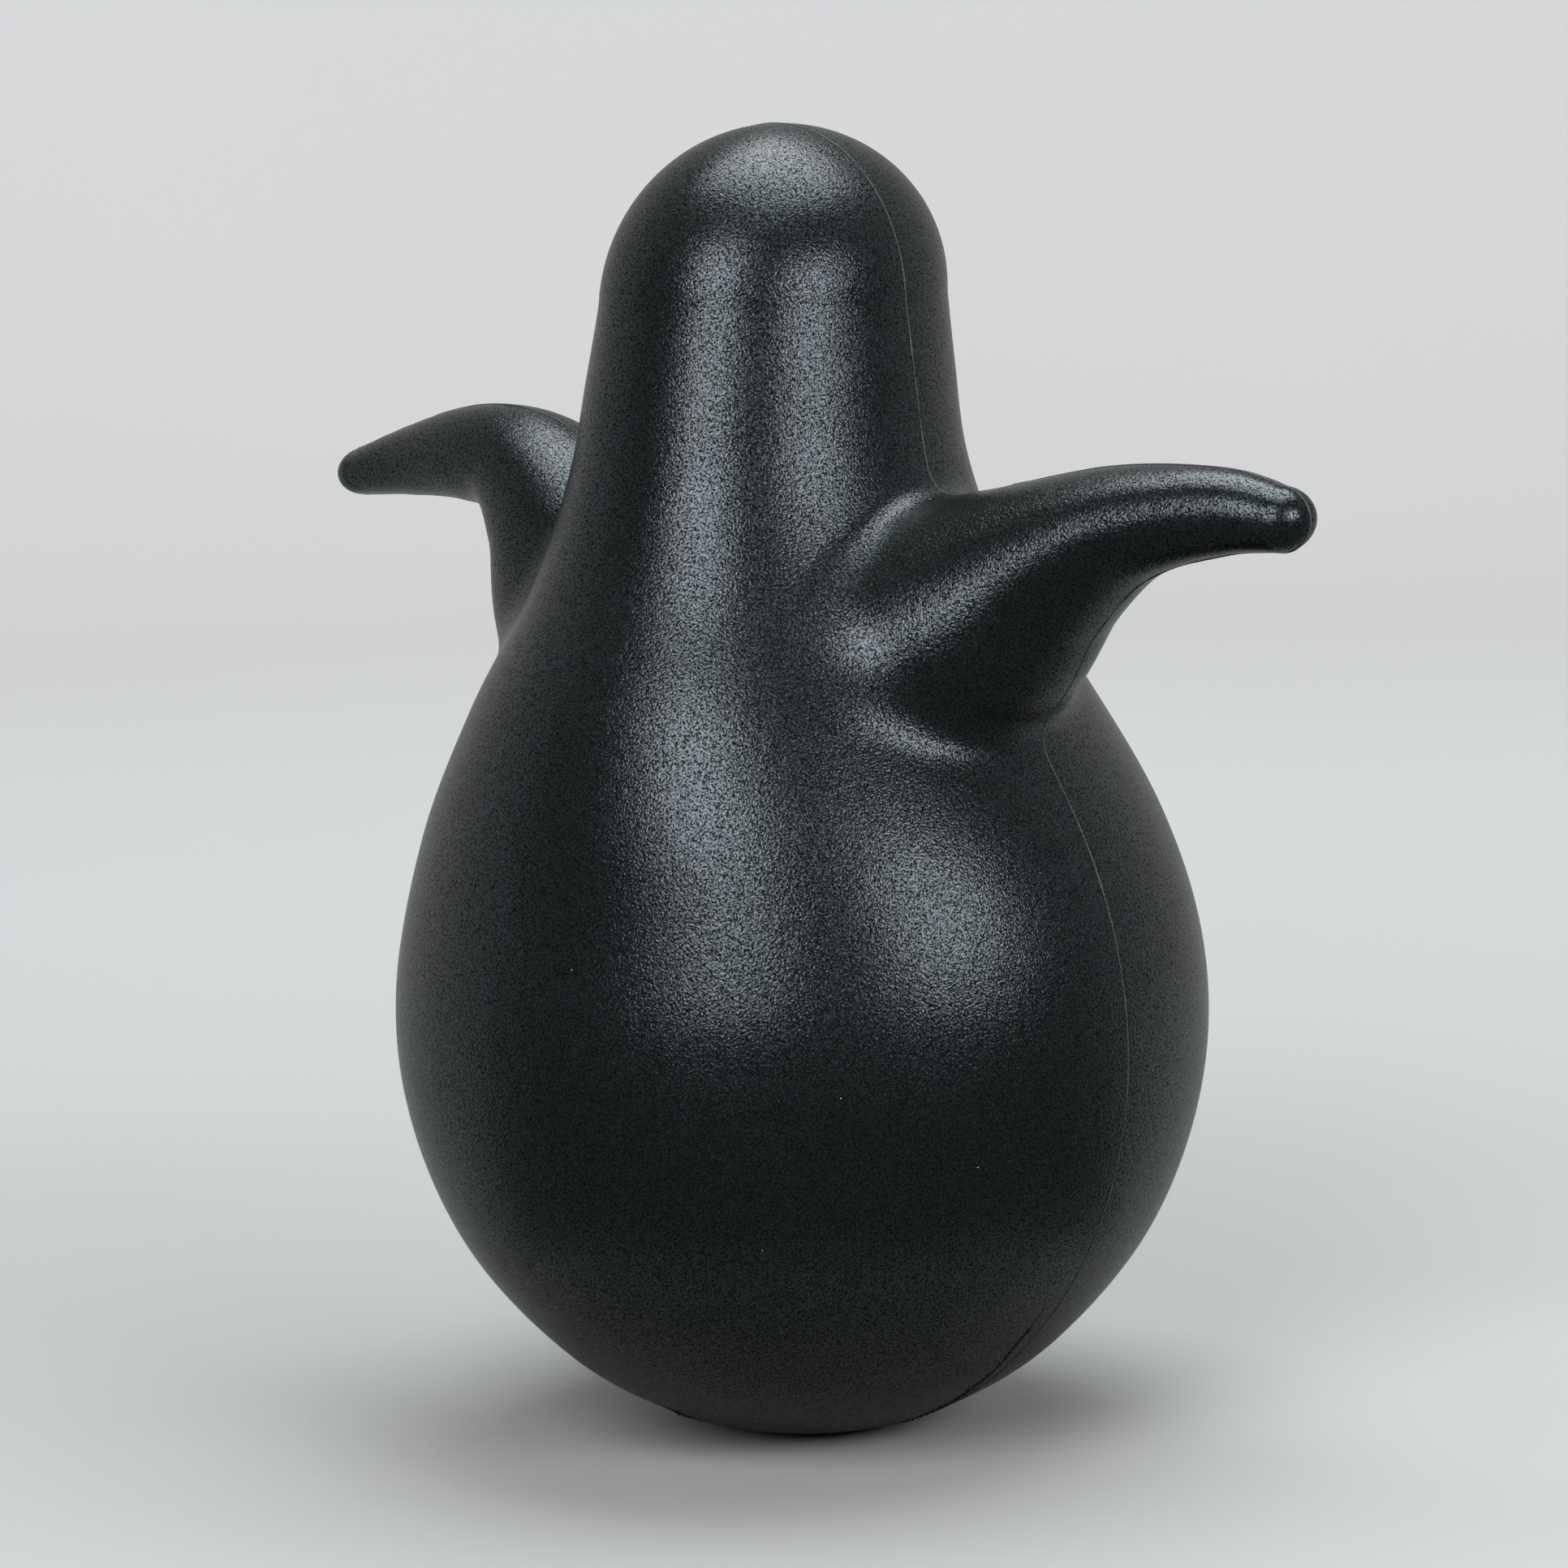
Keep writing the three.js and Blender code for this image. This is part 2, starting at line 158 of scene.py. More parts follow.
class Wing:
    """Distance-like field of a tapering wing: its centre line is tabulated over the frontal plane."""

    def __init__(self, stations, side, step=2.0):
        self.side, self.step = side, step
        line = spline(stations, 241)
        slope = np.gradient(line[:, :2], axis=0)
        pace = np.linalg.norm(slope, axis=1)
        slope = slope / pace[:, None]
        u, z = np.meshgrid(np.arange(0, 330, step), np.arange(230, 540, step), indexing="ij")
        points = np.stack([u.ravel(), z.ravel()], 1)
        index = np.arange(len(line))
        t = ((points[:, None] - line[None, :, :2]) ** 2).sum(2).argmin(1).astype(float)
        at = lambda values: np.stack([np.interp(t, index, values[:, k]) for k in range(values.shape[1])], 1)
        for _ in range(4):
            miss = ((points - at(line)[:, :2]) * at(slope)).sum(1) / np.interp(t, index, pace)
            t = np.clip(t + miss, 0, len(line) - 1)
        here, ahead = at(line), at(slope)
        off = points - here[:, :2]
        along = (off * ahead).sum(1)
        across = ahead[:, 0] * off[:, 1] - ahead[:, 1] * off[:, 0]
        self.tables = [c.reshape(u.shape) for c in (across, along, *here[:, 2:].T)]

    def __call__(self, p):
        a, b = self.side * p[0] / self.step, (p[2] - 230) / self.step
        n, along, high, thick, shift, lean = (look_up(table, a, b) for table in self.tables)
        y = p[1] - shift - lean * n
        along = np.where(along > 0, along, 0.6 * along)
        q = np.sqrt((n / high) ** 2 + (y / thick) ** 2 + (along / WING_TIP) ** 2) + 1e-6
        steep = np.sqrt(n**2 / high**4 + y**2 / thick**4 + along**2 / WING_TIP**4) + 1e-9
        return (q - 1) * q / steep


def beak(p):
    front = HEAD_RADIUS * (1 + NECK_OVALITY) - NECK_SHIFT * 0.6
    along = np.clip((-front - p[1]) / (BEAK["reach"] / 2), -1.5, 1.5)
    taper = 1 - 0.45 * np.clip(along, 0, 1)
    drop = BEAK["droop"] * np.clip(along, 0, 1.5) ** 2
    x = p[0] / (BEAK["half_width"] * taper)
    z = (p[2] - BEAK["z"] + drop) / (BEAK["half_height"] * taper)
    return (np.sqrt(x * x + z * z + along * along) - 1) * BEAK["half_height"] * 0.9


def blend_min(a, b, radius):
    overlap = np.maximum(radius - np.abs(a - b), 0) / radius
    return np.minimum(a, b) - overlap**2 * radius / 4


body_field, left_field, right_field = Body(), Wing(LEFT_WING, -1), Wing(RIGHT_WING, 1)


def field(p):
    value = body_field(p)
    wings = np.where(p[0] < 0, left_field(p), right_field(p))
    near = (np.abs(p[0]) > 10) & (p[2] > 240)
    value = np.where(near, blend_min(value, wings, FILLET), value)
    return blend_min(value, beak(p), BEAK_FILLET)


def gradient(p, reach=0.6):
    g = []
    for k in range(3):
        offset = np.zeros((3, 1))
        offset[k] = reach
        g.append((field(p + offset) - field(p - offset)) / (2 * reach))
    return np.array(g)


# ---------------------------------------------------------------- meshing

def sample_grid():
    axes = [np.arange(GRID_LOW[k], GRID_HIGH[k] + STEP / 2, STEP) for k in range(3)]
    values = np.empty([len(a) for a in axes], np.float32)
    for i, x in enumerate(axes[0]):
        y, z = np.meshgrid(axes[1], axes[2], indexing="ij")
        values[i] = field(np.stack([np.full(y.size, x), y.ravel(), z.ravel()])).reshape(y.shape)
    return values


def surface_net(values, level, step):
    """Quads round every sampled edge that crosses the level, one vertex per crossed cell."""
    v = values - level
    shape = v.shape
    cells, spots, quads = [], [], []
    for axis in range(3):
        unit = np.eye(3, dtype=int)
        first = v[tuple(slice(None, -1) if k == axis else slice(None) for k in range(3))]
        second = v[tuple(slice(1, None) if k == axis else slice(None) for k in range(3))]
        idx = np.argwhere((first < 0) != (second < 0))
        a, b = first[tuple(idx.T)], second[tuple(idx.T)]
        spot = idx + (a / (a - b))[:, None] * unit[axis]
        e, f = unit[(axis + 1) % 3], unit[(axis + 2) % 3]
        ring = [idx - e - f, idx - f, idx, idx - e]
        ids = np.stack([np.ravel_multi_index(c.T, shape) for c in ring], 1)
        rising = a < b
        quads.append(np.where(rising[:, None], ids, ids[:, ::-1]))
        cells.append(ids.ravel())
        spots.append(np.repeat(spot, 4, axis=0))
    cells, spots, quads = np.concatenate(cells), np.concatenate(spots), np.concatenate(quads)
    used, place = np.unique(cells, return_inverse=True)
    count = np.bincount(place)
    points = np.stack([np.bincount(place, spots[:, k]) / count for k in range(3)], 1)
    order = np.searchsorted(used, quads)
    return points * step + GRID_LOW, order


def settle(points, quads, level, rounds=3):
    """Evens out the vertices and puts them exactly on the surface."""
    edges = np.vstack([quads[:, [k, (k + 1) % 4]] for k in range(4)])
    count = np.bincount(edges[:, 0], minlength=len(points)) + np.bincount(edges[:, 1], minlength=len(points))
    for turn in range(rounds + 1):
        p = points.T
        for _ in range(2 if turn == rounds else 1):
            g = gradient(p)
            p = p - (field(p) - level) * g / np.maximum((g**2).sum(0), 0.25)
        points = p.T
        if turn < rounds:
            total = np.stack([
                np.bincount(edges[:, 0], points[edges[:, 1], k], len(points))
                + np.bincount(edges[:, 1], points[edges[:, 0], k], len(points))
                for k in range(3)
            ], 1)
            pull = total / count[:, None] - points
            normal = (g / np.linalg.norm(g, axis=0)).T
            points = points + 0.5 * (pull - (pull * normal).sum(1)[:, None] * normal)
    return points


def swept(points):
    points = points.copy()
    share = np.maximum(np.abs(points[:, 0]) - SWEEP_FROM, 0) / (HALF_SPAN - SWEEP_FROM)
    points[:, 1] -= np.where(points[:, 2] > SWEEP_ABOVE, SWEEP_FORWARD * share**2, 0)
    return points


def to_mesh(name, points, faces):
    mesh = bpy.data.meshes.new(name)
    mesh.from_pydata((np.asarray(points) * MM + (0, 0, FLOOR_Z)).tolist(), [], [list(f) for f in faces])
    mesh.update()
    return mesh


def new_object(name, mesh):
    made = bpy.data.objects.new(name, mesh)
    bpy.context.scene.collection.objects.link(made)
    return made


def drill(target, base, top, radius, sides=96):
    """Cuts a round hole from base to top."""
    axis = (Vector(top) - Vector(base)).normalized()
    turn = Vector((0, 0, 1)).rotation_difference(axis).to_matrix()
    ring = [turn @ Vector((radius * math.cos(a), radius * math.sin(a), 0)) for a in np.arange(sides) * 2 * math.pi / sides]
    points = [Vector(base) + p for p in ring] + [Vector(top) + p for p in ring]
    faces = [[k, (k + 1) % sides, (k + 1) % sides + sides, k + sides] for k in range(sides)]
    faces += [list(range(sides))[::-1], list(range(sides, 2 * sides))]
    cutter = new_object("cutter", to_mesh("cutter", points, faces))
    cut = target.modifiers.new("cut", "BOOLEAN")
    cut.operation, cut.solver, cut.object = "DIFFERENCE", "MANIFOLD", cutter
    done = bpy.data.meshes.new_from_object(target.evaluated_get(bpy.context.evaluated_depsgraph_get()))
    target.modifiers.clear()
    target.data = done
    bpy.data.objects.remove(cutter)


def half_shell(name, outer, inner, side):
    """One hollow half of the figure: outer and inner skins cut at the frontal plane, rim closed, base hole drilled."""
    points = np.vstack([outer[0], inner[0]])
    faces = np.vstack([outer[1], inner[1][:, ::-1] + len(outer[0])])
    keep = (side * points[:, 1] > -4 * STEP)[faces].all(1)
    whole = to_mesh(name, points, faces[keep])
    bm = bmesh.new()
    bm.from_mesh(whole)
    bmesh.ops.delete(bm, geom=[v for v in bm.verts if not v.link_faces], context="VERTS")
    cut = bmesh.ops.bisect_plane(
        bm, geom=bm.verts[:] + bm.edges[:] + bm.faces[:], dist=1e-7,
        plane_co=(0, side * GAP / 2 * MM, 0), plane_no=(0, side, 0), clear_inner=True,
    )
    rim = [e for e in cut["geom_cut"] if isinstance(e, bmesh.types.BMEdge)]
    bmesh.ops.triangle_fill(bm, edges=rim, use_beauty=True, use_dissolve=False)
    bmesh.ops.triangulate(bm, faces=bm.faces[:])
    bmesh.ops.recalc_face_normals(bm, faces=bm.faces[:])
    bm.to_mesh(whole)
    bm.free()
    made = new_object(name, whole)
    drill(made, (0, 0, -9), (0, 0, 60), HOLE_RADIUS)
    lean = VENT["reach"] * Vector((math.sin(VENT["tilt"]), 0, math.cos(VENT["tilt"])))
    vent = Vector((-VENT["u"], 0, VENT["z"]))
    drill(made, vent - lean, vent + lean, VENT["radius"], 24)
    return made


def finish_shell(made):
    co = np.empty(len(made.data.vertices) * 3)
    made.data.vertices.foreach_get("co", co)
    points = (co.reshape(-1, 3) - (0, 0, FLOOR_Z)) / MM
    co = swept(points) * MM + (0, 0, FLOOR_Z)
    made.data.vertices.foreach_set("co", co.ravel())
    made.data.polygons.foreach_set("use_smooth", np.ones(len(made.data.polygons), bool))
    bm = bmesh.new()
    bm.from_mesh(made.data)
    for edge in bm.edges:
        if edge.is_manifold and edge.calc_face_angle() > 0.6:
            edge.smooth = False
    bm.to_mesh(made.data)
    bm.free()
    made.data.update()


# ---------------------------------------------------------------- tubes, lathes and beads

def tube(name, path, radii, sides=8, closed=False):
    path = np.asarray(path, float)
    ahead = np.gradient(path, axis=0)
    if closed:
        ahead = np.roll(path, -1, 0) - np.roll(path, 1, 0)
    ahead /= np.linalg.norm(ahead, axis=1)[:, None] + 1e-12
    side = np.cross(ahead, gradient_normals(path))
    side /= np.linalg.norm(side, axis=1)[:, None] + 1e-12
    up = np.cross(side, ahead)
    points, faces = [], []
    angles = np.arange(sides) * 2 * math.pi / sides
    for k in range(len(path)):
        for a in angles:
            points.append(path[k] + radii[k] * (math.cos(a) * side[k] + math.sin(a) * up[k]))
    total = len(path)
    for k in range(total if closed else total - 1):
        n = (k + 1) % total
        for s in range(sides):
            t = (s + 1) % sides
            faces.append([k * sides + s, n * sides + s, n * sides + t, k * sides + t])
    if not closed:
        faces.append(list(range(sides)))
        faces.append([(total - 1) * sides + s for s in range(sides)][::-1])
    return new_object(name, to_mesh(name, points, faces))


def gradient_normals(path):
    g = gradient(path.T)
    return (g / np.linalg.norm(g, axis=0)).T


def lathe(name, profile, sides=128):
    """A closed profile of (radius, height) turned about the vertical axis; points on the axis become poles."""
    points, rings = [], []
    for r, z in profile:
        if r < 1e-6:
            rings.append([len(points)] * sides)
            points.append((0, 0, z))
        else:
            rings.append(list(range(len(points), len(points) + sides)))
            points += [(r * math.cos(a), r * math.sin(a), z) for a in np.arange(sides) * 2 * math.pi / sides]
    closed = profile[0][0] > 1e-6
    faces = []
    for k in range(len(rings) if closed else len(rings) - 1):
        low, high = rings[k], rings[(k + 1) % len(rings)]
        for s in range(sides):
            t = (s + 1) % sides
            face = list(dict.fromkeys([low[s], low[t], high[t], high[s]]))
            if len(face) > 2:
                faces.append(face)
    made = new_object(name, to_mesh(name, points, faces))
    bm = bmesh.new()
    bm.from_mesh(made.data)
    bmesh.ops.recalc_face_normals(bm, faces=bm.faces[:])
    for edge in bm.edges:
        edge.smooth = edge.calc_face_angle(0) < 0.6
    for face in bm.faces:
        face.smooth = True
    bm.to_mesh(made.data)
    bm.free()
    return made


# ---------------------------------------------------------------- materials

def material(name):
    made = bpy.data.materials.new(name)
    made.use_nodes = True
    tree = made.node_tree
    return made, tree.nodes, tree.links, tree.nodes["Principled BSDF"]


def node(nodes, kind, **values):
    made = nodes.new(kind)
    for key, value in values.items():
        if key in made.inputs:
            made.inputs[key].default_value = value
        else:
            setattr(made, key, value)
    return made


def ramp(nodes, links, source, low, high, out_low, out_high):
    made = node(nodes, "ShaderNodeMapRange")
    made.inputs["From Min"].default_value = low
    made.inputs["From Max"].default_value = high
    made.inputs["To Min"].default_value = out_low
    made.inputs["To Max"].default_value = out_high
    links.new(source, made.inputs["Value"])
    return made.outputs["Result"]


def math_node(nodes, links, operation, a, b):
    made = node(nodes, "ShaderNodeMath", operation=operation)
    for slot, value in ((0, a), (1, b)):
        if isinstance(value, (int, float)):
            made.inputs[slot].default_value = value
        else:
            links.new(value, made.inputs[slot])
    return made.outputs[0]


def noise(nodes, links, coords, scale, detail=2.0, roughness=0.5):
    made = node(nodes, "ShaderNodeTexNoise", Scale=scale, Detail=detail, Roughness=roughness)
    links.new(coords, made.inputs["Vector"])
    return made.outputs["Fac"]


def grained_plastic(name, colour, roughness, grain=1.0, pitch=1.25, dust=0.0, blotch=0.15):
    """Moulded plastic with a fine leather grain, faint cloudiness, and a few specks of dust."""
    made, nodes, links, shader = material(name)
    coords = node(nodes, "ShaderNodeTexCoord").outputs["Object"]
    scale = 1000.0 / pitch
    # grain: soft cells whose edges wander
    wander = node(nodes, "ShaderNodeTexNoise", Scale=scale * 0.55, Detail=1.0)
    links.new(coords, wander.inputs["Vector"])
    offset = node(nodes, "ShaderNodeVectorMath", operation="SCALE")
    links.new(wander.outputs["Color"], offset.inputs[0])
    offset.inputs["Scale"].default_value = 0.55 * pitch / 1000
    moved = node(nodes, "ShaderNodeVectorMath", operation="ADD")
    links.new(coords, moved.inputs[0])
    links.new(offset.outputs[0], moved.inputs[1])
    cells = node(nodes, "ShaderNodeTexVoronoi", feature="SMOOTH_F1", Scale=scale)
    cells.inputs["Smoothness"].default_value = 0.35
    links.new(moved.outputs[0], cells.inputs["Vector"])
    creases = noise(nodes, links, coords, scale * 0.75, 2.0, 0.6)
    height = math_node(nodes, links, "ADD", math_node(nodes, links, "MULTIPLY", cells.outputs["Distance"], -0.6),
                       math_node(nodes, links, "MULTIPLY", creases, 1.6))
    # painted shade on the reflections: a fine noise lowers the specular level in small patches, standing in for shade
    # in the grain's hollows; it does not follow the grain's relief
    hollow = noise(nodes, links, coords, scale * 1.1, 1.0, 0.6)
    shine = ramp(nodes, links, hollow, 0.38, 0.62, 0.02, 0.4 + 0.5 * grain)
    links.new(shine, shader.inputs["Specular IOR Level"])
    # painted reflection colour: the cool specular tint stands for the colour of the softboxes' light
    shader.inputs["Specular Tint"].default_value = (0.78, 0.92, 1.0, 1)
    # the grain fades towards the wing tips, where the tool was polished
    split = node(nodes, "ShaderNodeSeparateXYZ")
    links.new(coords, split.inputs[0])
    outwards = math_node(nodes, links, "ABSOLUTE", split.outputs["X"], 0)
    fade = ramp(nodes, links, outwards, 0.19, 0.27, 1.0, 0.45)
    bump = node(nodes, "ShaderNodeBump", Strength=1.0)
    links.new(math_node(nodes, links, "MULTIPLY", fade, grain * 0.00018 * pitch / 1.25), bump.inputs["Distance"])
    links.new(height, bump.inputs["Height"])
    # slow waviness of the moulded wall
    wave = node(nodes, "ShaderNodeBump", Strength=1.0, Distance=0.00025)
    links.new(noise(nodes, links, coords, 22.0, 1.0), wave.inputs["Height"])
    links.new(wave.outputs[0], bump.inputs["Normal"])
    links.new(bump.outputs[0], shader.inputs["Normal"])
    # sheen and colour variation
    cloud = noise(nodes, links, coords, 14.0, 3.0, 0.6)
    speckle = noise(nodes, links, coords, scale * 1.1, 1.0)
    rough = math_node(nodes, links, "ADD", ramp(nodes, links, cloud, 0.3, 0.7, roughness - 0.02, roughness + 0.02),
                      ramp(nodes, links, speckle, 0.3, 0.7, -0.05, 0.05))
    links.new(rough, shader.inputs["Roughness"])
    tint = node(nodes, "ShaderNodeMix", data_type="RGBA")
    light = tuple(c * (1 + blotch) for c in colour) + (1,)
    dark = tuple(c * (1 - blotch) for c in colour) + (1,)
    tint.inputs[6].default_value, tint.inputs[7].default_value = dark, light
    links.new(cloud, tint.inputs[0])
    result = tint.outputs[2]
    if dust:
        specks = node(nodes, "ShaderNodeTexVoronoi", feature="F1", Scale=55.0)
        links.new(coords, specks.inputs["Vector"])
        near = ramp(nodes, links, specks.outputs["Distance"], 0.010, 0.020, 1.0, 0.0)
        chosen = node(nodes, "ShaderNodeSeparateColor")
        links.new(specks.outputs["Color"], chosen.inputs[0])
        rare = ramp(nodes, links, chosen.outputs[0], 1 - dust, 1 - dust + 0.02, 0.0, 1.0)
        speck = node(nodes, "ShaderNodeMix", data_type="RGBA")
        links.new(math_node(nodes, links, "MULTIPLY", near, rare), speck.inputs[0])
        links.new(result, speck.inputs[6])
        speck.inputs[7].default_value = (0.55, 0.55, 0.56, 1)
        result = speck.outputs[2]
    links.new(result, shader.inputs["Base Color"])
    shader.inputs["IOR"].default_value = 1.46
    return made


def worn_metal(name, colour, roughness, scale=300.0, bump_depth=0.00003):
    """Metal with a fine cast or plated texture and a patchy tone."""
    made, nodes, links, shader = material(name)
    coords = node(nodes, "ShaderNodeTexCoord").outputs["Object"]
    coarse = noise(nodes, links, coords, scale, 4.0, 0.65)
    links.new(ramp(nodes, links, coarse, 0.3, 0.7, roughness - 0.1, roughness + 0.12), shader.inputs["Roughness"])
    tint = node(nodes, "ShaderNodeMix", data_type="RGBA")
    tint.inputs[6].default_value = tuple(c * 0.7 for c in colour) + (1,)
    tint.inputs[7].default_value = tuple(c * 1.1 for c in colour) + (1,)
    links.new(noise(nodes, links, coords, scale * 0.3, 3.0), tint.inputs[0])
    links.new(tint.outputs[2], shader.inputs["Base Color"])
    bump = node(nodes, "ShaderNodeBump", Strength=1.0, Distance=bump_depth)
    links.new(coarse, bump.inputs["Height"])
    links.new(bump.outputs[0], shader.inputs["Normal"])
    shader.inputs["Metallic"].default_value = 1.0
    return made


BLACK = (0.0050, 0.0056, 0.0054)
shell_plastic = grained_plastic("shell_plastic", BLACK, 0.23, grain=1.0, pitch=1.0, dust=0.35)
# the parting bead is lighter than the shell: partly scuffed flash, partly a painted highlight for the light line the
# seam catches
bead_plastic = grained_plastic("bead_plastic", (0.05, 0.056, 0.053), 0.42, grain=0.4)
weld_plastic = grained_plastic("weld_plastic", (0.004, 0.004, 0.004), 0.6, grain=1.4, pitch=0.8)
cap_plastic = grained_plastic("cap_plastic", (0.014, 0.014, 0.015), 0.5, grain=0.5)
plug_plastic = grained_plastic("plug_plastic", (0.02, 0.02, 0.021), 0.42, grain=0.35)
seal_rubber = grained_plastic("seal_rubber", (0.012, 0.012, 0.013), 0.7, grain=0.8, pitch=0.5)
cast_weight = worn_metal("cast_weight", (0.30, 0.29, 0.28), 0.6, 260.0, 0.0002)
plated_steel = worn_metal("plated_steel", (0.62, 0.60, 0.55), 0.32, 900.0, 0.00001)


def paint(obj, *materials):
    obj.data.materials.clear()
    for m in materials:
        obj.data.materials.append(m)


# ---------------------------------------------------------------- the figure

values = sample_grid()
outer_points, outer_quads = surface_net(values, 0.0, STEP)
inner_points, inner_quads = surface_net(values[::2, ::2, ::2], -WALL, 2 * STEP)
del values
outer = (settle(outer_points, outer_quads, 0.0), outer_quads)
inner = (settle(inner_points, inner_quads, -WALL), inner_quads)


back_shell = half_shell("back_shell_skin", outer, inner, 1)
front_shell = half_shell("front_shell_skin", outer, inner, -1)


def boundary_loop():
    """Ordered outline of the figure in the frontal plane, by marching the field's zero line."""
    step = 1.5
    x = np.arange(-300, 300, step)
    z = np.arange(-6, 606, step)
    gx, gz = np.meshgrid(x, z, indexing="ij")
    v = field(np.stack([gx.ravel(), np.zeros(gx.size), gz.ravel()])).reshape(gx.shape)
    inside = v < 0
    links, spots = {}, {}
    quads = []
    for axis in range(2):
        first = v[:-1] if axis == 0 else v[:, :-1]
        second = v[1:] if axis == 0 else v[:, 1:]
        idx = np.argwhere((first < 0) != (second < 0))
        for i, j in idx:
            a, b = first[i, j], second[i, j]
            t = a / (a - b)
            spot = (x[i] + (t * step if axis == 0 else 0), z[j] + (t * step if axis == 1 else 0))
            cells = ((i, j), (i, j - 1)) if axis == 0 else ((i, j), (i - 1, j))
            for c in cells:
                links.setdefault(c, []).append(cells[1] if c == cells[0] else cells[0])
                spots.setdefault(c, []).append(spot)
    start = next(iter(links))
    order, before, here = [start], None, start
    while True:
        ahead = [c for c in links[here] if c != before]
        before, here = here, ahead[0]
        if here == start or len(order) > 100000:
            break
        order.append(here)
    return np.array([np.mean(spots[c], axis=0) for c in order])


def parting_bead():
    loop = boundary_loop()
    points = np.stack([loop[:, 0], np.zeros(len(loop)), loop[:, 1]], 1)
    p = points.T
    for _ in range(3):
        g = gradient(p)
        g[1] = 0
        p = p - field(p) * g / (g**2).sum(0)
    points = p.T
    base = (np.hypot(points[:, 0], 0) < HOLE_RADIUS + 1) & (points[:, 2] < 30)
    start = int(np.argmax(base))
    points, base = np.roll(points, -start, 0), np.roll(base, -start)
    first = int(np.argmin(base))
    last = len(base) - int(np.argmin(base[::-1]))
    points = points[first:last]
    wobble = np.interp(np.arange(len(points)), np.arange(0, len(points) + 12, 6), rng.normal(0, 1, len(range(0, len(points) + 12, 6))))
    radii = np.clip(0.36 + 0.10 * wobble, 0.2, 0.6)
    return tube("parting_bead", swept(points), radii)


bead = parting_bead()


# ---------------------------------------------------------------- base

def base_height(radius):
    line = meridian()[1:]
    above = int(np.argmax(line[:, 0] >= radius))
    (r0, z0), (r1, z1) = line[above - 1], line[above]
    return z0 + (z1 - z0) * (radius - r0) / (r1 - r0)


rim_radius = HOLE_RADIUS - GAP
flange = [(46.0 - 7 * k / 8, base_height(46.0 - 7 * k / 8) + WALL + 1.2) for k in range(8)]
outside = [(31.5 + (rim_radius - 31.5) * k / 6, base_height(31.5 + (rim_radius - 31.5) * k / 6)) for k in range(7)]
outside[0] = (31.5, 0.0)
cap = lathe("base_cap_skin", [
    (15.7, 0.4), (16.1, 0), *outside, (rim_radius, base_height(rim_radius) + WALL + 1.2),
    *flange[::-1], (46.0, 13.6), (45.6, 14), (10.0, 14), (10.0, 10.8), (15.7, 10.8),
])
plug = lathe("filler_plug_skin", [
    (0, 6.4), (4.9, 6.4), (5.0, 4.3), (5.3, 4), (14.6, 4), (15.1, 4.2), (15.4, 4.8), (15.4, 8), (9.7, 8),
    (9.7, 25), (8.7, 26), (0, 26),
])


def make_seal():
    made = []
    for a in np.linspace(0, 2 * math.pi, 25)[:-1]:
        made.append((12.4 + 1.3 * math.cos(a), 9.4 + 1.3 * math.sin(a)))
    return lathe("plug_seal_skin", made)


seal = make_seal()


def weld_run(name, azimuth, inner_radius, outer_radius, size):
    """A ragged bead of plastic laid up the base, between two radii."""
    count = int((outer_radius - inner_radius) / 0.7)
    radius = np.linspace(inner_radius, outer_radius, count)
    a = math.radians(azimuth)
    height = np.array([base_height(r) for r in radius])
    side = rng.normal(0, 0.35, count) + 0.6 * np.sin(radius / 4.3)
    path = np.stack([
        radius * math.cos(a) - side * math.sin(a), radius * math.sin(a) + side * math.cos(a), height,
    ], 1)
    taper = np.clip(np.minimum(radius - inner_radius, outer_radius - radius) / 14, 0.25, 1)
    radii = size * taper * np.clip(rng.normal(0.8, 0.3, count), 0.25, 1.5)
    return tube(name, path, radii)


def join(name, parts):
    bm = bmesh.new()
    for part in parts:
        bm.from_mesh(part.data)
    mesh = bpy.data.meshes.new(name)
    bm.to_mesh(mesh)
    bm.free()
    for part in parts:
        bpy.data.objects.remove(part)
    return new_object(name, mesh)


weld = join("closing_weld", [
    weld_run("w1", 175.5, HOLE_RADIUS + 3, 147, 0.75),
    weld_run("w2", -4.5, HOLE_RADIUS + 3, 135, 0.75),
    weld_run("w3", 79, 66, 89, 1.3),
])

for obj, body, slot, mats in (
    (back_shell, "figure", "shell_plastic", [shell_plastic]),
    (front_shell, "figure", "shell_plastic", [shell_plastic]),
    (bead, "figure", "shell_plastic", [bead_plastic]),
    (weld, "figure", "shell_plastic", [weld_plastic]),
    (cap, "figure", "cap_plastic", [cap_plastic]),
    (plug, "plug", "plug_plastic", [plug_plastic]),
    (seal, "plug", "seal_rubber", [seal_rubber]),
):
    paint(obj, *mats)
    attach(obj, body)
finish_shell(back_shell)
finish_shell(front_shell)
for obj in (bead, weld):
    obj.data.polygons.foreach_set("use_smooth", np.ones(len(obj.data.polygons), bool))
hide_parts("back_shell")
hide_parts("front_shell")
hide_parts("base_cap")
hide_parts("filler_plug")
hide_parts("plug_seal")
paint(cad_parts["ballast_weight"], cast_weight)
paint(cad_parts["clamp_ring"], plated_steel)
for k in range(1, 5):
    paint(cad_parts[f"clamp_screw_{k}"], plated_steel)

# ---------------------------------------------------------------- camera

